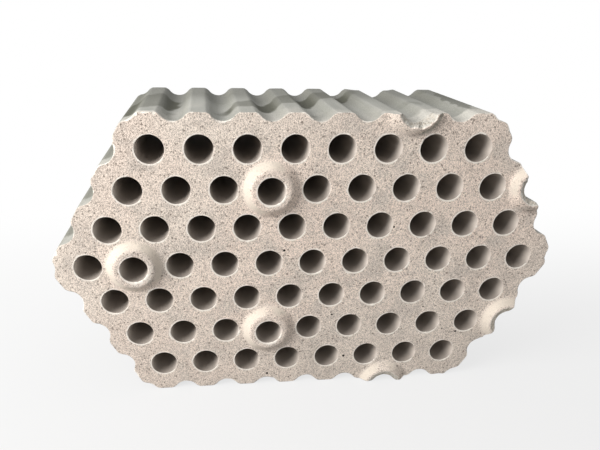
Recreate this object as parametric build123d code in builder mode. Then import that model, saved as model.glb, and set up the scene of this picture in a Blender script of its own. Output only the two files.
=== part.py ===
from build123d import *
import os
from math import radians, sqrt, tan

# Checker brick: one fired block, crossed by round flow holes, standing on a scalloped side.
# Millimetres. The holes run along Y, the bossed bed face looks towards -Y, and +Z is up.

# Hole lattice: rows of holes, each row half a pitch across from the next
pitch = 33.0
hole_diameter = 20.0
rows_to_outline = 4
steps_to_side_corner = 6

# Outline: it runs inside the outermost lattice points, whose holes are left as open notches
thickness = 120.0
joint_inset = 4.0
ridge_chamfer = 1.8

# Conical bosses on the front bed, and the seats behind for those of the next brick
boss_height = 6.0
boss_base_diameter = 41.0
boss_flank_angle = 45.0
seat_clearance = 1.0

row_rise = pitch * sqrt(3) / 2
hole_radius = hole_diameter / 2
boss_base_radius = boss_base_diameter / 2
overall_depth = thickness + boss_height


def row_half_steps(row):
    # Steps from the middle of a row to its outermost point; rows are counted upwards from the middle one
    return steps_to_side_corner - abs(row) / 2


def lattice_point(steps, row):
    return (steps * pitch, row * row_rise)


def row_points(row):
    # The points of one row, a step apart, from side to side
    reach = row_half_steps(row)
    return [lattice_point(step - reach, row) for step in range(round(2 * reach) + 1)]


def flanked_cone(base_radius, height):
    # A cone on its base plane, with the flanks of the bosses
    top_radius = base_radius - height * tan(radians(boss_flank_angle))
    return Cone(base_radius, top_radius, height, align=(Align.CENTER, Align.CENTER, Align.MIN))


hole_points = []
notch_points = []
for row in range(-rows_to_outline, rows_to_outline + 1):
    points = row_points(row)
    if abs(row) == rows_to_outline:
        notch_points += points
    else:
        notch_points += [points[0], points[-1]]
        hole_points += points[1:-1]

corner_points = [
    lattice_point(side * row_half_steps(row), row)
    for side, row in [
        (-1, 0),
        (-1, rows_to_outline),
        (1, rows_to_outline),
        (1, 0),
        (1, -rows_to_outline),
        (-1, -rows_to_outline),
    ]
]

# Three whole bosses, and four that the outline halves
boss_points = [
    lattice_point(steps, row)
    for steps, row in [(-4, 0), (-1, 2), (-1, -2), (2, 4), (2, -4), (5, 2), (5, -2)]
]

# The lowest ridges stand on Z = 0, and the brick with its bosses is centred along Y
centre_height = rows_to_outline * row_rise - joint_inset
back_bed = Plane(origin=(0, overall_depth / 2, centre_height), x_dir=(1, 0, 0), z_dir=(0, -1, 0))
front_bed = back_bed.offset(thickness)

# Scalloped outline
with BuildSketch(back_bed) as outline:
    with BuildLine():
        Polyline(*corner_points, close=True)
    make_face()
    offset(amount=-joint_inset, kind=Kind.INTERSECTION)
    with Locations(*notch_points):
        Circle(hole_radius, mode=Mode.SUBTRACT)
    chamfer(outline.vertices(), ridge_chamfer)

# Bosses, trimmed to the outline
with BuildPart(front_bed) as bosses:
    with Locations(*boss_points):
        flanked_cone(boss_base_radius, boss_height)
    extrude(outline.sketch, amount=overall_depth, mode=Mode.INTERSECT)

# Seats, clear of a boss all round
with BuildPart(back_bed) as seats:
    with Locations(*boss_points):
        flanked_cone(boss_base_radius + seat_clearance, boss_height + seat_clearance)

# The brick: block and bosses, less the seats and the flow holes
with BuildPart() as checker_brick:
    extrude(outline.sketch, amount=thickness)
    add(bosses.part)
    add(seats.part, mode=Mode.SUBTRACT)
    with BuildSketch(back_bed):
        with Locations(*hole_points):
            Circle(hole_radius)
    extrude(amount=overall_depth, mode=Mode.SUBTRACT)

checker_brick.part.label = "checker_brick"
os.makedirs("parts", exist_ok=True)
export_step(checker_brick.part, "parts/checker_brick.step")
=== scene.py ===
import math

import bpy
import numpy as np
from mathutils import Matrix, Vector, noise
from mathutils.geometry import delaunay_2d_cdt
from mathutils.kdtree import KDTree


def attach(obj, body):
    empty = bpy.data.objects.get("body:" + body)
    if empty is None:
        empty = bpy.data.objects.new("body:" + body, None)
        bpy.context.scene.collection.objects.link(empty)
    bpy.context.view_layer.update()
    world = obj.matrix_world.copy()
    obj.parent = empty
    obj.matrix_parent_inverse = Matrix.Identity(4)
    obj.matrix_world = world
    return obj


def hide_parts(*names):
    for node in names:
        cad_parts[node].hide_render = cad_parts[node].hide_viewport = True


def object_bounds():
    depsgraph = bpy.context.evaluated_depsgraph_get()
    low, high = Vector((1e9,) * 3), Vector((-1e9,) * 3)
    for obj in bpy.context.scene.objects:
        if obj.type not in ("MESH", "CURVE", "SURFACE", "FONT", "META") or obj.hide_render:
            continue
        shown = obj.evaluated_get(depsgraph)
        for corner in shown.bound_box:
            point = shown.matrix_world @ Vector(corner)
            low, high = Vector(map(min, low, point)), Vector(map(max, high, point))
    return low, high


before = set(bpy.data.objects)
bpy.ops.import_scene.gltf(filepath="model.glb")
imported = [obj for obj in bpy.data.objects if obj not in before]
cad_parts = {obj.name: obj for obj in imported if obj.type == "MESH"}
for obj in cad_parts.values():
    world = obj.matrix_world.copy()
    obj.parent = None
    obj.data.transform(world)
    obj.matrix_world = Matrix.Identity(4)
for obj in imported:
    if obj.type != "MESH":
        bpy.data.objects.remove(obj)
cad_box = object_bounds()

# Sizes of the brick, in metres, as in the solid
PITCH = 0.033
ROW_RISE = PITCH * math.sqrt(3) / 2
ROWS_TO_OUTLINE = 4
STEPS_TO_SIDE_CORNER = 6
HOLE_RADIUS = 0.010
THICKNESS = 0.120
JOINT_INSET = 0.004
RIDGE_CHAMFER = 0.0018
BOSS_HEIGHT = 0.006
BOSS_RADIUS = 0.0205
SEAT_CLEARANCE = 0.001

BACK_Y = cad_box[1].y
FRONT_Y = BACK_Y - THICKNESS
CENTRE_Z = (cad_box[0].z + cad_box[1].z) / 2
TOP_Z = cad_box[1].z

# Mesh fineness of edges and walls
OUTLINE_STEP = 0.00095
NOTCH_SIDES = 24
HOLE_SIDES = 56
RIM_RINGS = 3
OUTLINE_WALL_RINGS = 7
HOLE_WALL_RINGS = 1

# Bands of the bed face beside a worn edge: next to it, round a hole, and along the outline
HOLD = 0.00015
RIM_BAND = 0.0014
EDGE_BAND = 0.0007

# Uneven grid of points on the bed faces, and how far it keeps from the edges
FACE_GRID = 0.0036
FACE_ROW_GAP = FACE_GRID * 0.87
FACE_JITTER = 0.15
FACE_SEED = 11
FACE_MARGIN = 0.0008
MERGE_GAP = 1e-7

# Rings of points round a boss: coarse ones to past its foot, and fine ones where it has crumbled
BOSS_GRID = 0.00085
BOSS_RING_POINTS = 72
BOSS_START = HOLE_RADIUS + 0.002
BOSS_MARGIN = 0.003
CRUMB_GRID = 0.00055
CRUMB_START = HOLE_RADIUS + 0.0012
CRUMB_MARGIN = 0.0015
CRUMB_TWIST = 50

# Wear, in metres: the usual rounding of an edge, what chips add to it, and how ragged it is
RIM_WEAR = 0.00020
EDGE_WEAR = 0.00045
CHIP_WEAR = 0.0016
RAGGED = 0.0003
CORNER_SOFT = 0.0005

# Bosses, seats and beds, in metres: how round their edges are, how uneven, and as far as a boss reaches
BOSS_SOFT = 0.0014
SEAT_SOFT = 0.0008
BOSS_UNEVEN = 0.0005
BED_UNEVEN = 0.0001
BOSS_REACH = BOSS_RADIUS + 0.002

# Broken clay: large and small raggedness, in metres, and how pale its crest is
BREAK_LUMPS = 0.0010
BREAK_CRUMBS = 0.0008
CREST_PALE = 0.34

# Pale crumbs behind a broken mouth: steps down the wall, and what is left of them there
MOUTH_DUST = [(0.0040, 0.75), (0.0060, 0.45), (0.0080, 0.0)]

# Each boss: its lattice place, how deep and how wide its mouth has crumbled, how pale that break or the
# rough side of its crown is, and how much of the flank is left smooth
BOSSES = [
    ((-4, 0), 0, 0, 0.27, 0.38),
    ((-1, 2), 0, 0, 0.20, 0.10),
    ((-1, -2), 0, 0, 0.14, 0.05),
    ((2, 4), 0.0050, 0.0037, 0.36, -0.60),
    ((2, -4), 0.0013, 0.0044, 0.28, -0.50),
    ((5, 2), 0.0022, 0.0042, 0.32, -0.40),
    ((5, -2), 0.0010, 0.0052, 0.12, 0.10),
]

# The half boss whose flank has broken off steep: its place, the side that happened on, how far its foot
# has moved in, how far the crest has moved out, and how much steeper the flank is
STEEP_BOSS = (2, 4)
STEEP_SIDE = np.array((0.96, -0.28))
STEEP_FOOT = 0.0022
STEEP_CREST = 0.0018
STEEPER = 1.3

# The side of the whole bosses where the crown has crumbled
CRUMBLED_SIDE = np.array((0.80, -0.60))

# Where the pale ring round a hole is faint
FAINT_SIDE = np.array((0.93, 0.30))

# Painted shadow across the top side, darkest in its grooves, and dust on its front edge: the middle of each
# patch across and behind the front bed, its half length and half width, and its turn
TOP_PAINTED_SHADOW = [
    ((-0.117, 0.050), (0.037, 0.018), 1.2),
    ((-0.008, 0.064), (0.073, 0.015), 0.625),
    ((0.1165, 0.060), (0.043, 0.0065), 1.5),
]
TOP_DUST = [((0.095, 0.002), (0.050, 0.015), 0.0), ((-0.120, 0.000), (0.015, 0.007), 0.0)]

# The way the smooth flanks look: up to the left, away from what has rubbed the others rough
SMOOTH_SIDE = np.array((-0.78, 0.62))

# Badly chipped ridges of the front edge: lattice place, and how bad
CHIPPED_RIDGES = [((-3.5, 4), 1.0), ((3.5, 4), 0.5), ((-5.75, 0.5), 0.5)]


def lattice(steps, row):
    return np.array((steps * PITCH, row * ROW_RISE))


def row_half_steps(row):
    return STEPS_TO_SIDE_CORNER - abs(row) / 2


def noise_at(points, scale, seed):
    """Smooth noise from about -1 to 1 at points of a bed face."""
    return np.array([noise.noise(Vector((x * scale, z * scale, seed))) for x, z in points])


def smooth_step(low, high, values):
    t = np.clip((values - low) / (high - low), 0, 1)
    return t * t * (3 - 2 * t)


def soft_min(a, b, width):
    """The smaller of two values, rounded over where they are within width of each other."""
    blend = np.clip(0.5 + 0.5 * (b - a) / width, 0, 1)
    return b + (a - b) * blend - width * blend * (1 - blend)


def soft_max(a, b, width):
    return -soft_min(-a, -b, width)


class Loop:
    """A closed edge of the bed face, walked with the brick on its left, so the void is on its right."""

    def __init__(self, points, is_bore, seed):
        self.points = points
        ahead = np.roll(points, -1, axis=0) - np.roll(points, 1, axis=0)
        ahead /= np.linalg.norm(ahead, axis=1)[:, None]
        self.to_void = np.column_stack((ahead[:, 1], -ahead[:, 0]))
        self.is_bore = is_bore
        self.seed = seed


def hole_loop(centre, seed):
    angle = -np.arange(HOLE_SIDES) * math.tau / HOLE_SIDES
    ring = np.column_stack((np.cos(angle), np.sin(angle)))
    return Loop(centre + HOLE_RADIUS * ring, True, seed)


def outline_loop(seed):
    """Ridges and notches all round the brick, evenly stepped, with the sharp corners worn soft."""
    mouth = math.sqrt(HOLE_RADIUS**2 - JOINT_INSET**2)
    trim_angle = RIDGE_CHAMFER / HOLE_RADIUS
    corners = [
        lattice(side * row_half_steps(row), row)
        for side, row in [
            (1, 0),
            (1, ROWS_TO_OUTLINE),
            (-1, ROWS_TO_OUTLINE),
            (-1, 0),
            (-1, -ROWS_TO_OUTLINE),
            (1, -ROWS_TO_OUTLINE),
        ]
    ]
    ridges = []
    for here, there in zip(corners, corners[1:] + corners[:1]):
        length = np.linalg.norm(there - here)
        along = (there - here) / length
        inward = np.array((-along[1], along[0]))
        for step in range(round(length / PITCH)):
            foot = here + along * PITCH * step + inward * JOINT_INSET
            ridges.append((foot, along, here + along * PITCH * (step + 1)))
    path = []
    for (foot, along, notch), (next_foot, next_along, _) in zip(ridges, ridges[1:] + ridges[:1]):
        path.append(foot + along * (mouth + RIDGE_CHAMFER))
        path.append(foot + along * (PITCH - mouth - RIDGE_CHAMFER))
        first = foot + along * (PITCH - mouth) - notch
        last = next_foot + next_along * mouth - notch
        start = math.atan2(first[1], first[0])
        turn = (math.atan2(last[1], last[0]) - start + math.pi) % math.tau - math.pi
        trim = math.copysign(trim_angle, turn)
        for angle in np.linspace(start + trim, start + turn - trim, NOTCH_SIDES):
            path.append(notch + HOLE_RADIUS * np.array((math.cos(angle), math.sin(angle))))
    return Loop(evenly_stepped(np.array(path), OUTLINE_STEP, CORNER_SOFT), False, seed)


def evenly_stepped(path, step, soften):
    """A closed path resampled in equal steps, after a blur along it that rounds its corners."""
    fine = 0.0002
    closed = np.vstack((path, path[:1]))
    run = np.concatenate(([0], np.cumsum(np.linalg.norm(np.diff(closed, axis=0), axis=1))))
    at = np.arange(0, run[-1], fine)
    dense = np.column_stack([np.interp(at, run, closed[:, axis]) for axis in (0, 1)])
    reach = int(3 * soften / fine)
    weights = np.exp(-0.5 * (np.arange(-reach, reach + 1) * fine / soften) ** 2)
    weights /= weights.sum()
    soft = sum(w * np.roll(dense, k - reach, axis=0) for k, w in enumerate(weights))
    count = round(run[-1] / step)
    pick = np.linspace(0, len(soft), count, endpoint=False).astype(int)
    return soft[pick]


def away_from(points, place):
    return np.linalg.norm(points - lattice(*place), axis=1)


def boss_rise(points, radius, height, soft):
    """Height of the nearest cone over the bed face, with rounded edges and a slightly uneven round."""
    rise = np.zeros(len(points))
    uneven = BOSS_UNEVEN * noise_at(points, 120, 5.3)
    for place, *_ in BOSSES:
        away = away_from(points, place)
        cone = soft_min(radius - away + uneven, np.full_like(away, height), soft)
        rise = np.maximum(rise, soft_max(cone, 0 * away, soft))
    return rise


def steep_share(points):
    """One on the side where the flank of a half boss has broken off steep, nought elsewhere."""
    away = away_from(points, STEEP_BOSS)
    side = (points - lattice(*STEEP_BOSS)) @ STEEP_SIDE / np.maximum(away, HOLE_RADIUS)
    return np.where(away < BOSS_REACH, smooth_step(0.25, 0.75, side), 0)


def mouth_breaks(points):
    """What has crumbled off the bosses: depth lost, share of break to be seen, and how pale it is."""
    pale = np.zeros(len(points))
    ragged = BREAK_LUMPS * noise_at(points, 380, 9.1) + BREAK_CRUMBS * noise_at(points, 850, 4.4)
    rise = boss_rise(points, BOSS_RADIUS, BOSS_HEIGHT, BOSS_SOFT)
    steep = steep_share(points)
    flank = (BOSS_RADIUS - STEEP_FOOT - away_from(points, STEEP_BOSS) + 0.6 * ragged) * (1 + STEEPER)
    flank_lost = steep * np.maximum(rise - np.clip(flank, 0, BOSS_HEIGHT), 0)
    depth = flank_lost
    broken = smooth_step(0.0003, 0.0011, flank_lost)
    for place, crumbled, width, tone, _ in BOSSES:
        away = away_from(points, place)
        if not crumbled:
            crown = np.where(away < BOSS_RADIUS, smooth_step(0.70, 0.95, rise / BOSS_HEIGHT), 0)
            side = (points - lattice(*place)) @ CRUMBLED_SIDE / np.maximum(away, HOLE_RADIUS)
            pale = np.maximum(pale, tone * crown * smooth_step(-0.2, 0.7, side))
            continue
        mouth = HOLE_RADIUS + width + STEEP_CREST * steep
        left = BOSS_HEIGHT + (away - mouth + ragged) * crumbled / width
        lost = np.where(away < BOSS_RADIUS, soft_max(rise - left, 0 * away, 0.12 * crumbled), 0)
        share = lost / crumbled
        crest = smooth_step(0.02, 0.08, share) * (1 - smooth_step(0.15, 0.40, share))
        depth = np.maximum(depth, lost)
        broken = np.maximum(broken, smooth_step(0.12, 0.36, share))
        pale = np.maximum(pale, tone * smooth_step(0.05, 0.20, share) + CREST_PALE * crest)
    return depth, broken, pale


def front_y(points):
    uneven = BED_UNEVEN * (1 + noise_at(points, 45, 3.7))
    rise = boss_rise(points, BOSS_RADIUS, BOSS_HEIGHT, BOSS_SOFT)
    return FRONT_Y - rise + mouth_breaks(points)[0] + uneven


def back_y(points):
    seat = boss_rise(points, BOSS_RADIUS + SEAT_CLEARANCE, BOSS_HEIGHT + SEAT_CLEARANCE, SEAT_SOFT)
    return BACK_Y - seat - BED_UNEVEN * (1 + noise_at(points, 45, 8.1))


def smooth_flank(points):
    """One where the smooth flank of a boss shows, nought on bed and crowns and where it has worn rough."""
    rise = boss_rise(points, BOSS_RADIUS, BOSS_HEIGHT, BOSS_SOFT)
    crown = smooth_step(BOSS_HEIGHT - 0.0013, BOSS_HEIGHT - 0.0005, rise)
    ring = smooth_step(0.0003, 0.0010, rise) * (1 - crown)
    patches = noise_at(points, 75, 6.1) + 0.4 * noise_at(points, 260, 2.9)
    left = np.zeros(len(points))
    for place, *_, smooth in BOSSES:
        away = away_from(points, place)
        side = (points - lattice(*place)) @ SMOOTH_SIDE / np.maximum(away, HOLE_RADIUS)
        share = smooth_step(-0.2, 0.2, patches + smooth + 0.6 * side)
        left = np.where(away < BOSS_REACH, share, left)
    return ring * left * (1 - mouth_breaks(points)[1])


def edge_wear(loop, bed):
    """How far wear reaches across the face and down the wall along a loop, and how pale it is."""
    seed = loop.seed + bed.seed
    points = loop.points
    base = RIM_WEAR if loop.is_bore else EDGE_WEAR
    chip_size = CHIP_WEAR * (0.6 if loop.is_bore else 1.0)
    chips = smooth_step(0.2, 0.7, noise_at(points, 170, seed + 4))
    chips = chips * (0.6 + 0.4 * noise_at(points, 500, seed + 9))
    for place, amount in CHIPPED_RIDGES:
        if bed is FRONT and not loop.is_bore:
            near = 1 - smooth_step(0.008, 0.014, away_from(points, place))
            chips = chips + amount * near * np.clip(0.2 + 1.8 * noise_at(points, 560, seed + 3), 0, 1)
    if bed is FRONT and loop.is_bore:
        crown = smooth_step(0.5, 0.9, boss_rise(points, BOSS_RADIUS, BOSS_HEIGHT, BOSS_SOFT) / BOSS_HEIGHT)
        side = smooth_step(-0.2, 0.8, -loop.to_void @ CRUMBLED_SIDE)
        chips = chips + crown * side * np.clip(0.55 + 1.1 * noise_at(points, 520, seed + 3), 0, 1.2)
    across = np.maximum(base + RAGGED * noise_at(points, 550, seed), 0.5 * base) + chip_size * chips
    down = base * (1 + 0.3 * noise_at(points, 700, seed + 13)) + 0.8 * chip_size * chips
    if loop.is_bore:
        faint = smooth_step(0.1, 1.0, 0.6 * noise_at(points, 150, seed + 17) - loop.to_void @ FAINT_SIDE)
        pale = (1 - 0.85 * faint) * (0.76 + 0.70 * noise_at(points, 420, seed + 25))
    else:
        worn = smooth_step(-0.2, 0.4, noise_at(points, 120, seed + 21))
        pale = 0.5 * np.maximum(worn, np.clip(chips, 0, 1))
    return across, down, pale


class Bed:
    """A bed face: its height at any point, the way into the brick along Y, and whether it has crumbled."""

    def __init__(self, height_at, into, seed, crumbles):
        self.height_at = height_at
        self.into = into
        self.seed = seed
        self.crumbles = crumbles

    def breaks(self, points):
        """The share of a broken mouth at points of this bed, and how pale it is there."""
        return mouth_breaks(points)[1:] if self.crumbles else np.zeros((2, len(points)))


FRONT = Bed(front_y, 1, 0, crumbles=True)
BACK = Bed(back_y, -1, 31, crumbles=False)


class BrickMesh:
    """Collects the rings of every loop and the two bed faces as one closed mesh."""

    def __init__(self):
        self.rows = []
        self.count = 0
        self.faces = []
        self.front = []
        self.back = []

    def add_ring(self, xz, y, on_bed, wear, bore, broken=0):
        """Adds points in a row, with what the material needs to know of them."""
        flank = on_bed * smooth_flank(xz) if on_bed else 0
        marks = [np.broadcast_to(mark, len(y)) for mark in (on_bed, wear, bore, flank, broken)]
        made = np.column_stack((xz[:, 0], y, xz[:, 1], *marks))
        self.rows.append(made)
        first = self.count
        self.count += len(made)
        return np.arange(first, self.count)

    def join_rings(self, near, far):
        quads = np.column_stack((near, far, np.roll(far, -1), np.roll(near, -1)))
        self.faces.extend(quads.tolist())

    def add_edge(self, loop, bed):
        """Rings from a bed face over its worn edge to the wall, and the height at which the wall begins."""
        bore = float(loop.is_bore)
        across, down, pale = edge_wear(loop, bed)
        rings = []
        for reach, edge_share in ((RIM_BAND if loop.is_bore else EDGE_BAND, 0), (HOLD, 1)):
            xz = loop.points - loop.to_void * (across + reach)[:, None]
            broken, tone = bed.breaks(xz)
            wear = np.maximum(edge_share * pale * (1 - broken), tone)
            rings.append(self.add_ring(xz, bed.height_at(xz), 1, wear, bore, broken))
            if not edge_share:
                bed_edge = (xz, rings[0], loop.to_void)
        for angle in np.linspace(0, math.pi / 2, RIM_RINGS):
            xz = loop.points - loop.to_void * (across * (1 - math.sin(angle)))[:, None]
            y = bed.height_at(xz) + bed.into * down * (1 - math.cos(angle))
            broken, tone = bed.breaks(xz)
            wear = np.maximum(pale * (1 - broken), tone)
            rings.append(self.add_ring(xz, y, 1 - math.sin(angle), wear, bore, broken))
        wall_y = y + bed.into * HOLD
        rings.append(self.add_ring(loop.points, wall_y, 0, 0 if loop.is_bore else 0.9 * tone, bore, broken))
        return rings, bed_edge, wall_y

    def add_loop(self, loop, wall_rings):
        bore = float(loop.is_bore)
        front, front_edge, wall_y = self.add_edge(loop, FRONT)
        back, back_edge, wall_end = self.add_edge(loop, BACK)
        wall = []
        if not loop.is_bore:
            broken, tone = FRONT.breaks(loop.points)
            for depth, share in MOUTH_DUST:
                wall_y = wall_y + depth
                wall.append(self.add_ring(loop.points, wall_y, 0, share * tone, bore, broken))
        for share in np.linspace(0, 1, wall_rings + 2)[1:-1]:
            wall.append(self.add_ring(loop.points, wall_y + (wall_end - wall_y) * share, 0, 0, bore))
        self.front.append(front_edge)
        self.back.append(back_edge)
        rings = front + wall + back[::-1]
        for near, far in zip(rings, rings[1:]):
            self.join_rings(near, far)

    def add_bed(self, loops, bed):
        """Fills the face between the loops with triangles, fine round the bosses."""
        inner = face_points(loops)
        broken, tone = bed.breaks(inner)
        inner_ids = self.add_ring(inner, bed.height_at(inner), 1, tone, 0, broken)
        coords = np.vstack([xz for xz, _, _ in loops] + [inner])
        ids = np.concatenate([ring for _, ring, _ in loops] + [inner_ids])
        loop_of = [np.full(len(xz), k) for k, (xz, _, _) in enumerate(loops)] + [np.full(len(inner), -1)]
        loop_of = np.concatenate(loop_of)
        edges = []
        first = 0
        for xz, _, _ in loops:
            edges += [(first + k, first + (k + 1) % len(xz)) for k in range(len(xz))]
            first += len(xz)
        made = delaunay_2d_cdt([Vector(p) for p in coords], edges, [], 0, MERGE_GAP)
        source = [origin[0] for origin in made[3]]
        for triangle in made[2]:
            a, b, c = (source[k] for k in triangle)
            if loop_of[a] >= 0 and loop_of[a] == loop_of[b] == loop_of[c]:
                middle = (coords[a] + coords[b] + coords[c]) / 3
                if not on_left(loops[loop_of[a]][0], middle):
                    continue
            corner_ids = [int(ids[k]) for k in (a, b, c)]
            self.faces.append(corner_ids if bed is FRONT else corner_ids[::-1])


def on_left(loop_points, point):
    """Whether a point is on the brick's side of a loop: inside the outline, or outside a hole."""
    x, z = loop_points.T
    next_x, next_z = np.roll(x, -1), np.roll(z, -1)
    crosses = (z > point[1]) != (next_z > point[1])
    at = x[crosses] + (point[1] - z[crosses]) * (next_x - x)[crosses] / (next_z - z)[crosses]
    inside = np.count_nonzero(at > point[0]) % 2 == 1
    area = np.sum(x * next_z - next_x * z)
    return inside == (area > 0)


def face_points(loops):
    """Points inside the bed face: an uneven grid, and rings round the bosses where the face bends."""
    rng = np.random.default_rng(FACE_SEED)
    wide = STEPS_TO_SIDE_CORNER * PITCH
    high = ROWS_TO_OUTLINE * ROW_RISE
    grid = []
    for k, z in enumerate(np.arange(-high, high, FACE_ROW_GAP)):
        x = np.arange(-wide, wide, FACE_GRID) + FACE_GRID / 2 * (k % 2)
        grid.append(np.column_stack((x, np.full(len(x), z))))
    grid = np.vstack(grid)
    grid += rng.uniform(-FACE_JITTER, FACE_JITTER, grid.shape) * FACE_GRID
    near_boss = np.min([away_from(grid, place) for place, *_ in BOSSES], axis=0)
    points = [grid[near_boss > BOSS_RADIUS + BOSS_MARGIN]]
    angle = np.arange(BOSS_RING_POINTS) * math.tau / BOSS_RING_POINTS
    circle = np.column_stack((np.cos(angle), np.sin(angle)))
    for place, crumbled, width, *_ in BOSSES:
        crest = HOLE_RADIUS + width + CRUMB_MARGIN if crumbled else 0
        if place == STEEP_BOSS:
            crest = BOSS_RADIUS
        for radius in np.arange(CRUMB_START, crest, CRUMB_GRID):
            turn = np.arange(0, math.tau, CRUMB_GRID / radius) + CRUMB_TWIST * radius
            points.append(lattice(*place) + radius * np.column_stack((np.cos(turn), np.sin(turn))))
        for radius in np.arange(max(BOSS_START, crest), BOSS_RADIUS + BOSS_MARGIN, BOSS_GRID):
            points.append(lattice(*place) + radius * circle)
    points = np.vstack(points)
    edge = np.vstack([xz for xz, _, _ in loops])
    to_void = np.vstack([aim for _, _, aim in loops])
    tree = KDTree(len(edge))
    for k, (x, z) in enumerate(edge):
        tree.insert((x, z, 0), k)
    tree.balance()
    nearest = np.array([tree.find((x, z, 0))[1] for x, z in points])
    past_edge = np.sum((points - edge[nearest]) * to_void[nearest], axis=1)
    gap = np.linalg.norm(points - edge[nearest], axis=1)
    return points[(past_edge < 0) & (gap > FACE_MARGIN)]


def build_brick():
    mesh = BrickMesh()
    mesh.add_loop(outline_loop(0.5), OUTLINE_WALL_RINGS)
    for row in range(1 - ROWS_TO_OUTLINE, ROWS_TO_OUTLINE):
        reach = row_half_steps(row) - 1
        for step in range(round(2 * reach) + 1):
            centre = lattice(step - reach, row)
            mesh.add_loop(hole_loop(centre, 60 + 7 * row + step), HOLE_WALL_RINGS)
    mesh.add_bed(mesh.front, FRONT)
    mesh.add_bed(mesh.back, BACK)
    table = np.vstack(mesh.rows)
    data = bpy.data.meshes.new("checker_brick_fired")
    vertices = table[:, :3] + (0, 0, CENTRE_Z)
    data.from_pydata(vertices.tolist(), [], mesh.faces)
    data.validate()
    for column, name in enumerate(("bed", "wear", "bore", "flank", "broken"), start=3):
        layer = data.attributes.new(name, "FLOAT", "POINT")
        layer.data.foreach_set("value", np.ascontiguousarray(table[:, column], dtype=np.float32))
    data.polygons.foreach_set("use_smooth", np.ones(len(data.polygons), bool))
    brick = bpy.data.objects.new("checker_brick_fired", data)
    bpy.context.scene.collection.objects.link(brick)
    return brick


def colour_socket(sockets, name):
    """The socket of that name which carries a colour: a mix node has one for each kind of value."""
    return next(socket for socket in sockets if socket.name == name and socket.type == "RGBA")


class Nodes:
    """Short calls for making and linking shader nodes."""

    def __init__(self, name):
        self.material = bpy.data.materials.new(name)
        self.material.use_nodes = True
        self.tree = self.material.node_tree
        self.shader = self.tree.nodes["Principled BSDF"]
        coordinates = self.tree.nodes.new("ShaderNodeTexCoord")
        self.place = coordinates.outputs["Object"]
        self.facing = coordinates.outputs["Normal"]

    def link(self, value, socket):
        if hasattr(value, "is_linked"):
            self.tree.links.new(value, socket)
        else:
            socket.default_value = value

    def stretched(self, scale):
        node = self.tree.nodes.new("ShaderNodeMapping")
        node.inputs["Scale"].default_value = scale
        self.link(self.place, node.inputs["Vector"])
        return node.outputs["Vector"]

    def noise(self, scale, detail=3, roughness=0.55, place=None):
        node = self.tree.nodes.new("ShaderNodeTexNoise")
        self.link(place or self.place, node.inputs["Vector"])
        node.inputs["Scale"].default_value = scale
        node.inputs["Detail"].default_value = detail
        node.inputs["Roughness"].default_value = roughness
        return node.outputs["Fac"]

    def warped(self, scale, amount):
        """The place, pushed about by noise, so that what is drawn there loses its regular shape."""
        push = self.tree.nodes.new("ShaderNodeTexNoise")
        self.link(self.place, push.inputs["Vector"])
        push.inputs["Scale"].default_value = scale
        node = self.tree.nodes.new("ShaderNodeVectorMath")
        node.operation = "MULTIPLY_ADD"
        self.link(push.outputs["Color"], node.inputs[0])
        node.inputs[1].default_value = (amount, amount, amount)
        self.link(self.place, node.inputs[2])
        return node.outputs["Vector"]

    def patches(self, table):
        """One inside any of the long patches of a table, with ragged edges."""
        warp = 0.010
        place = self.warped(90, warp)
        shares = []
        for (across, behind), (length, width), turn in table:
            node = self.tree.nodes.new("ShaderNodeMapping")
            node.vector_type = "TEXTURE"
            node.inputs["Location"].default_value = (across + warp / 2, FRONT_Y + behind + warp / 2, 0)
            node.inputs["Rotation"].default_value = (0, 0, turn)
            node.inputs["Scale"].default_value = (length, width, 1000)
            self.link(place, node.inputs["Vector"])
            away = self.tree.nodes.new("ShaderNodeVectorMath")
            away.operation = "LENGTH"
            self.link(node.outputs["Vector"], away.inputs[0])
            shares.append(self.ramp(away.outputs["Value"], 0.85, 1.1, 1.0, 0.0))
        inside = shares[0]
        for share in shares[1:]:
            inside = self.math("MAXIMUM", inside, share)
        return inside

    def split(self, vector):
        node = self.tree.nodes.new("ShaderNodeSeparateXYZ")
        self.link(vector, node.inputs["Vector"])
        return [node.outputs[axis] for axis in "XYZ"]

    def cells(self, scale, place):
        node = self.tree.nodes.new("ShaderNodeTexVoronoi")
        self.link(place, node.inputs["Vector"])
        node.inputs["Scale"].default_value = scale
        return node.outputs["Distance"], node.outputs["Color"]

    def ramp(self, value, low, high, to_low=0.0, to_high=1.0):
        node = self.tree.nodes.new("ShaderNodeMapRange")
        node.interpolation_type = "SMOOTHSTEP"
        self.link(value, node.inputs["Value"])
        span = {"From Min": low, "From Max": high, "To Min": to_low, "To Max": to_high}
        for name, number in span.items():
            node.inputs[name].default_value = number
        return node.outputs["Result"]

    def math(self, operation, a, b):
        node = self.tree.nodes.new("ShaderNodeMath")
        node.operation = operation
        self.link(a, node.inputs[0])
        self.link(b, node.inputs[1])
        return node.outputs["Value"]

    def mix(self, share, a, b, blend="MIX"):
        node = self.tree.nodes.new("ShaderNodeMix")
        node.data_type = "RGBA"
        node.blend_type = blend
        self.link(share, node.inputs["Factor"])
        self.link(a, colour_socket(node.inputs, "A"))
        self.link(b, colour_socket(node.inputs, "B"))
        return colour_socket(node.outputs, "Result")

    def attribute(self, name):
        node = self.tree.nodes.new("ShaderNodeAttribute")
        node.attribute_name = name
        return node.outputs["Fac"]

    def red(self, colour):
        node = self.tree.nodes.new("ShaderNodeSeparateColor")
        self.link(colour, node.inputs["Color"])
        return node.outputs["Red"]

    def bump(self, height, strength, distance):
        node = self.tree.nodes.new("ShaderNodeBump")
        node.inputs["Strength"].default_value = strength
        node.inputs["Distance"].default_value = distance
        self.link(height, node.inputs["Height"])
        return node.outputs["Normal"]


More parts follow.
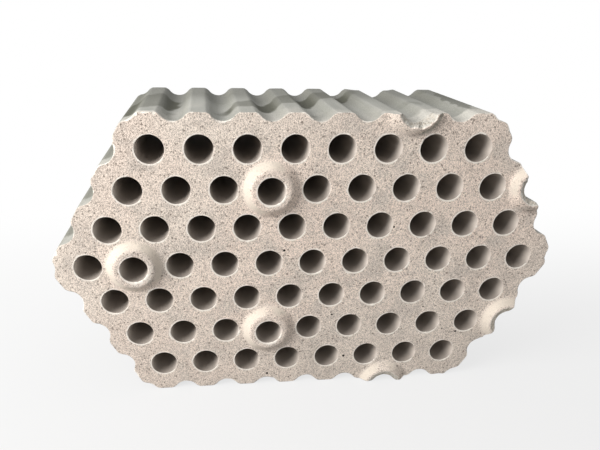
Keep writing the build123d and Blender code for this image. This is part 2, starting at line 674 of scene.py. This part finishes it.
# Linear colours of the fired clay
BED_PINK = (0.69, 0.582, 0.504, 1)
BED_CREAM = (0.685, 0.602, 0.526, 1)
BED_GREY = (0.548, 0.483, 0.426, 1)
FLANK_CREAM = (0.655, 0.585, 0.50, 1)
BREAK_OLIVE = (0.37, 0.335, 0.28, 1)
BREAK_PALE = (0.60, 0.545, 0.47, 1)
BREAK_DUST = (0.56, 0.54, 0.495, 1)
SIDE_GREY = (0.355, 0.355, 0.325, 1)
SIDE_PALE = (0.47, 0.455, 0.415, 1)
SIDE_DARK = (0.20, 0.20, 0.18, 1)
# The next colour serves for dark smudges and also for painted shade on walls that face left
SMUDGE_AND_SHADE_OLIVE = (0.15, 0.15, 0.125, 1)
# The next colour is painted shadow, for the dark bands across the top side
PAINTED_SHADOW_OLIVE = (0.085, 0.085, 0.065, 1)
DUST_PALE = (0.58, 0.56, 0.51, 1)
BORE_BROWN = (0.58, 0.52, 0.465, 1)
# The next colour is painted light, for hole walls that face away from the lamp
BORE_PAINTED_LIGHT = (0.76, 0.70, 0.64, 1)
BORE_DARK = (0.30, 0.265, 0.235, 1)
WORN_CREAM = (0.82, 0.765, 0.69, 1)
STAIN_BROWN = (0.51, 0.43, 0.37, 1)
PEPPER = (0.19, 0.155, 0.13, 1)
FLECK_PALE = (0.88, 0.785, 0.69, 1)
# The next colour paints the pits near black: painted shade inside them
PIT_PAINTED_SHADE = (0.030, 0.026, 0.022, 1)
GRAIN_DARK = (0.58, 0.58, 0.58, 1)
GRAIN_LIGHT = (1.48, 1.48, 1.48, 1)


def spots(n, scale, place, rarity, size, edge):
    """Spots of uneven size, one to a cell at most; the rarity is the share of cells that stay empty."""
    away, colour = n.cells(scale, place)
    reach = n.ramp(n.red(colour), rarity, 1.0, 0.0, size)
    return n.ramp(n.math("SUBTRACT", reach, away), -edge / 2, edge)


def bed_colour(n, grain_tone, height):
    """Pinkish cream with clouds, brown specks, pale flecks and a few pits painted black as painted shade,
    and how deep those are.
    """
    broad = n.noise(9, detail=2)
    cloud = n.noise(42, detail=3, roughness=0.62)
    stain = n.noise(120, detail=3, roughness=0.6)
    bed = n.mix(n.ramp(broad, 0.35, 0.65), BED_PINK, BED_CREAM)
    bed = n.mix(n.ramp(cloud, 0.45, 0.68, 0.0, 0.95), bed, BED_GREY)
    # Greyer towards the bottom of the face: painted shade
    bed = n.mix(n.ramp(height, 0.0, 0.13, 0.45, 0.0), bed, BED_GREY)
    bed = n.mix(n.ramp(stain, 0.48, 0.72, 0.0, 0.30), bed, STAIN_BROWN)
    bed = n.mix(0.95, bed, grain_tone, blend="MULTIPLY")
    fleck = spots(n, 760, n.warped(900, 0.0014), 0.50, 0.40, 0.12)
    bed = n.mix(n.math("MULTIPLY", fleck, 0.45), bed, FLECK_PALE)
    fine = spots(n, 700, n.warped(900, 0.0014), 0.58, 0.46, 0.10)
    large = spots(n, 330, n.warped(600, 0.0014), 0.64, 0.285, 0.05)
    speck = n.math("MAXIMUM", n.math("MULTIPLY", fine, 0.74), n.math("MULTIPLY", large, 0.78))
    bed = n.mix(speck, bed, PEPPER)
    # Pits painted near black: painted shade inside them
    pit = spots(n, 95, n.warped(400, 0.0010), 0.30, 0.105, 0.02)
    bed = n.mix(pit, bed, PIT_PAINTED_SHADE)
    return bed, n.math("ADD", n.math("MULTIPLY", speck, 0.5), pit)


def bore_colour(n):
    """Brown skin of the flow holes, darker on the bottoms, with painted light on the walls above and to the
    left.
    """
    rightward, _, upward = n.split(n.facing)
    # Paler where a wall faces right and down, away from the lamp: painted light
    skin = n.mix(n.ramp(n.math("SUBTRACT", rightward, upward), 0.0, 1.0), BORE_BROWN, BORE_PAINTED_LIGHT)
    return n.mix(n.ramp(upward, 0.1, 0.9), skin, BORE_DARK)


def side_colour(n, along, height, grain_tone):
    """Grey skin, dusty at the front, darker towards the back and at the far left, with streaks along the
    brick, smudges, painted shade on walls facing left and a painted shadow across the top.
    """
    streak = n.noise(1, detail=4, place=n.stretched((150, 6, 150)))
    patch = n.noise(45, detail=3, place=n.stretched((1, 0.6, 1)))
    smudge = n.noise(30, detail=4, roughness=0.6, place=n.stretched((1, 0.6, 1)))
    side = n.mix(n.ramp(along, -0.015, 0.030, 0.0, 0.8), SIDE_GREY, SIDE_DARK)
    side = n.mix(n.ramp(streak, 0.45, 0.8, 0.0, 0.35), side, SIDE_DARK)
    dusty = n.math("MULTIPLY", n.ramp(patch, 0.35, 0.65), n.ramp(along, -0.055, -0.005, 0.8, 0.0))
    side = n.mix(dusty, side, SIDE_PALE)
    side = n.mix(n.ramp(smudge, 0.60, 0.70, 0.0, 0.45), side, SMUDGE_AND_SHADE_OLIVE)
    leftmost, behind, _ = n.split(n.warped(90, 0.010))
    rightward, _, _ = n.split(n.facing)
    # Darker at the far left behind the front edge, and painted shade on walls that face left
    far_left_and_painted_shade = n.math("MULTIPLY", n.ramp(leftmost, -0.122, -0.115, 0.75, 0.0), n.ramp(behind, -0.042, -0.032))
    far_left_and_painted_shade = n.math("MAXIMUM", far_left_and_painted_shade, n.ramp(rightward, -0.75, -0.15, 0.40, 0.0))
    side = n.mix(far_left_and_painted_shade, side, SMUDGE_AND_SHADE_OLIVE)
    on_top = n.ramp(height, TOP_Z - 0.020, TOP_Z - 0.012)
    side = n.mix(n.math("MULTIPLY", n.patches(TOP_DUST), n.math("MULTIPLY", on_top, 0.7)), side, DUST_PALE)
    # Painted shadow: dark bands across the top, strongest low in the grooves
    painted_shadow = n.math("MULTIPLY", n.patches(TOP_PAINTED_SHADOW), n.ramp(height, TOP_Z - 0.0055, TOP_Z, 0.95, 0.55))
    side = n.mix(n.math("MULTIPLY", painted_shadow, on_top), side, PAINTED_SHADOW_OLIVE)
    return n.mix(0.35, side, grain_tone, blend="MULTIPLY")


def fired_clay():
    n = Nodes("fired_clay")
    on_bed = n.attribute("bed")
    on_flank = n.attribute("flank")
    _, along, height = n.split(n.place)
    grain = n.noise(1500, detail=1, roughness=0.6)
    ragged = n.noise(520, detail=3, roughness=0.65)
    grain_tone = n.mix(n.ramp(grain, 0.25, 0.75), GRAIN_DARK, GRAIN_LIGHT)
    bed, hollow = bed_colour(n, grain_tone, height)
    bed = n.mix(n.math("MULTIPLY", on_flank, 0.8), bed, FLANK_CREAM)
    broken = n.ramp(n.math("ADD", n.attribute("broken"), ragged), 0.70, 1.20)
    crumbs = n.ramp(n.noise(640, detail=2), 0.35, 0.65)
    bed = n.mix(broken, bed, n.mix(crumbs, BREAK_OLIVE, BREAK_PALE))
    wall = n.mix(n.attribute("bore"), side_colour(n, along, height, grain_tone), bore_colour(n))
    clay = n.mix(on_bed, wall, bed)
    wear = n.attribute("wear")
    worn = n.ramp(n.math("ADD", wear, ragged), 0.72, 1.02)
    clay = n.mix(worn, clay, n.mix(n.attribute("broken"), WORN_CREAM, BREAK_DUST))
    n.link(clay, n.shader.inputs["Base Color"])
    n.shader.inputs["Roughness"].default_value = 0.9
    n.shader.inputs["Specular IOR Level"].default_value = 0.2
    relief = n.math("SUBTRACT", grain, hollow)
    relief = n.math("ADD", relief, n.math("MULTIPLY", crumbs, n.attribute("broken")))
    rough = n.math("SUBTRACT", n.ramp(on_bed, 0, 1, 0.25, 1.0), n.math("MULTIPLY", on_flank, 0.7))
    rough = n.math("MAXIMUM", rough, n.ramp(wear, 0.0, 0.3))
    n.link(n.bump(n.math("MULTIPLY", relief, rough), 0.7, 0.0005), n.shader.inputs["Normal"])
    return n.material


# The floor: what it throws back on the brick, what the camera sees of it, and where near fades into far
FLOOR_BOUNCE = (0.35, 0.35, 0.35, 1)
FLOOR_PALE = (0.85, 0.85, 0.85, 1)
FLOOR_NEAR = (0.865, 0.865, 0.865, 1)
FLOOR_FAR = (1, 1, 1, 1)
FLOOR_FADE = (-0.15, 0.40)
FLOOR_OWN_TONE = 0.85
FLOOR_HALF = 40.0


def floor_paper():
    """Pale paper that fades to white behind the brick and carries its shadow; to other light it is grey."""
    n = Nodes("floor_paper")
    n.shader.inputs["Roughness"].default_value = 0.95
    n.shader.inputs["Specular IOR Level"].default_value = 0.0
    path = n.tree.nodes.new("ShaderNodeLightPath")
    seen = n.math("MAXIMUM", path.outputs["Is Camera Ray"], path.outputs["Is Glossy Ray"])
    seen = n.math("MAXIMUM", seen, path.outputs["Is Transmission Ray"])
    n.link(n.mix(seen, FLOOR_BOUNCE, FLOOR_PALE), n.shader.inputs["Base Color"])
    _, depth, _ = n.split(n.place)
    away = n.ramp(depth, *FLOOR_FADE)
    tone = n.tree.nodes.new("ShaderNodeEmission")
    n.link(n.mix(away, FLOOR_NEAR, FLOOR_FAR), tone.inputs["Color"])
    choose = n.tree.nodes.new("ShaderNodeMixShader")
    n.link(n.math("MULTIPLY", seen, n.ramp(away, 0, 1, FLOOR_OWN_TONE, 1)), choose.inputs["Fac"])
    n.link(n.shader.outputs["BSDF"], choose.inputs[1])
    n.link(tone.outputs["Emission"], choose.inputs[2])
    n.link(choose.outputs["Shader"], n.tree.nodes["Material Output"].inputs["Surface"])
    return n.material


def add_floor():
    data = bpy.data.meshes.new("floor")
    corners = [(x * FLOOR_HALF, y * FLOOR_HALF, 0) for x, y in [(-1, -1), (1, -1), (1, 1), (-1, 1)]]
    data.from_pydata(corners, [], [(0, 1, 2, 3)])
    floor = bpy.data.objects.new("floor", data)
    floor.data.materials.append(floor_paper())
    bpy.context.scene.collection.objects.link(floor)


# One soft window on the left, and even light from all round
WINDOW_PLACE = Vector((-0.85, -0.44, 0.60))
WINDOW_AIM = Vector((0, -0.05, 0.11))
WINDOW_SIZE = 0.58
WINDOW_POWER = 15.2
WINDOW_COLOUR = (1, 0.985, 0.965)
WORLD_STRENGTH = 0.57


def add_window():
    data = bpy.data.lights.new("window", "AREA")
    data.shape = "SQUARE"
    data.size = WINDOW_SIZE
    data.energy = WINDOW_POWER
    data.color = WINDOW_COLOUR
    lamp = bpy.data.objects.new("window", data)
    lamp.location = WINDOW_PLACE
    lamp.rotation_euler = (WINDOW_AIM - WINDOW_PLACE).to_track_quat("-Z", "Y").to_euler()
    bpy.context.scene.collection.objects.link(lamp)


def add_world():
    """Even light from all round; to the camera, and in reflections, the surroundings are white."""
    world = bpy.data.worlds.new("studio")
    world.use_nodes = True
    tree = world.node_tree
    fill = tree.nodes["Background"]
    fill.inputs["Color"].default_value = (1, 1, 1, 1)
    fill.inputs["Strength"].default_value = WORLD_STRENGTH
    white = tree.nodes.new("ShaderNodeBackground")
    white.inputs["Color"].default_value = (1, 1, 1, 1)
    path = tree.nodes.new("ShaderNodeLightPath")
    seen = path.outputs["Is Camera Ray"]
    for ray in ("Is Glossy Ray", "Is Transmission Ray"):
        either = tree.nodes.new("ShaderNodeMath")
        either.operation = "MAXIMUM"
        tree.links.new(seen, either.inputs[0])
        tree.links.new(path.outputs[ray], either.inputs[1])
        seen = either.outputs["Value"]
    choose = tree.nodes.new("ShaderNodeMixShader")
    tree.links.new(seen, choose.inputs["Fac"])
    tree.links.new(fill.outputs["Background"], choose.inputs[1])
    tree.links.new(white.outputs["Background"], choose.inputs[2])
    tree.links.new(choose.outputs["Shader"], tree.nodes["World Output"].inputs["Surface"])
    bpy.context.scene.world = world


# The photograph's camera, fitted to the hole lattice: pixels of its frame, pitches from the front bed's
# centre, and a turn as an axis times an angle
FRAME_WIDTH = 600
FRAME_HEIGHT = 450
FOCAL_PIXELS = 548.2
AXIS_PIXEL = (271.7, 267.75)
CAMERA_PITCHES = (-2.3527, -11.2246, 5.2306)
TURN = (0.44277, -0.11724, -0.00243)


def add_camera():
    data = bpy.data.cameras.new("photo_camera")
    data.lens = FOCAL_PIXELS / FRAME_WIDTH * data.sensor_width
    data.shift_x = (FRAME_WIDTH / 2 - AXIS_PIXEL[0]) / FRAME_WIDTH
    data.shift_y = (AXIS_PIXEL[1] - FRAME_HEIGHT / 2) / FRAME_WIDTH
    camera = bpy.data.objects.new("photo_camera", data)
    turn = Vector(TURN)
    level = Matrix(((1, 0, 0), (0, 0, -1), (0, 1, 0)))
    right, down, ahead = Matrix.Rotation(turn.length, 3, turn.normalized()) @ level
    place = Vector((0, FRONT_Y, CENTRE_Z)) + PITCH * Vector(CAMERA_PITCHES)
    camera.matrix_world = Matrix.Translation(place) @ Matrix((right, -down, -ahead)).transposed().to_4x4()
    bpy.context.scene.collection.objects.link(camera)
    bpy.context.scene.camera = camera


brick = build_brick()
brick.data.materials.append(fired_clay())
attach(brick, "root")
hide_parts("checker_brick")

add_floor()
add_world()
add_window()
add_camera()
bpy.context.scene.view_settings.view_transform = "Standard"
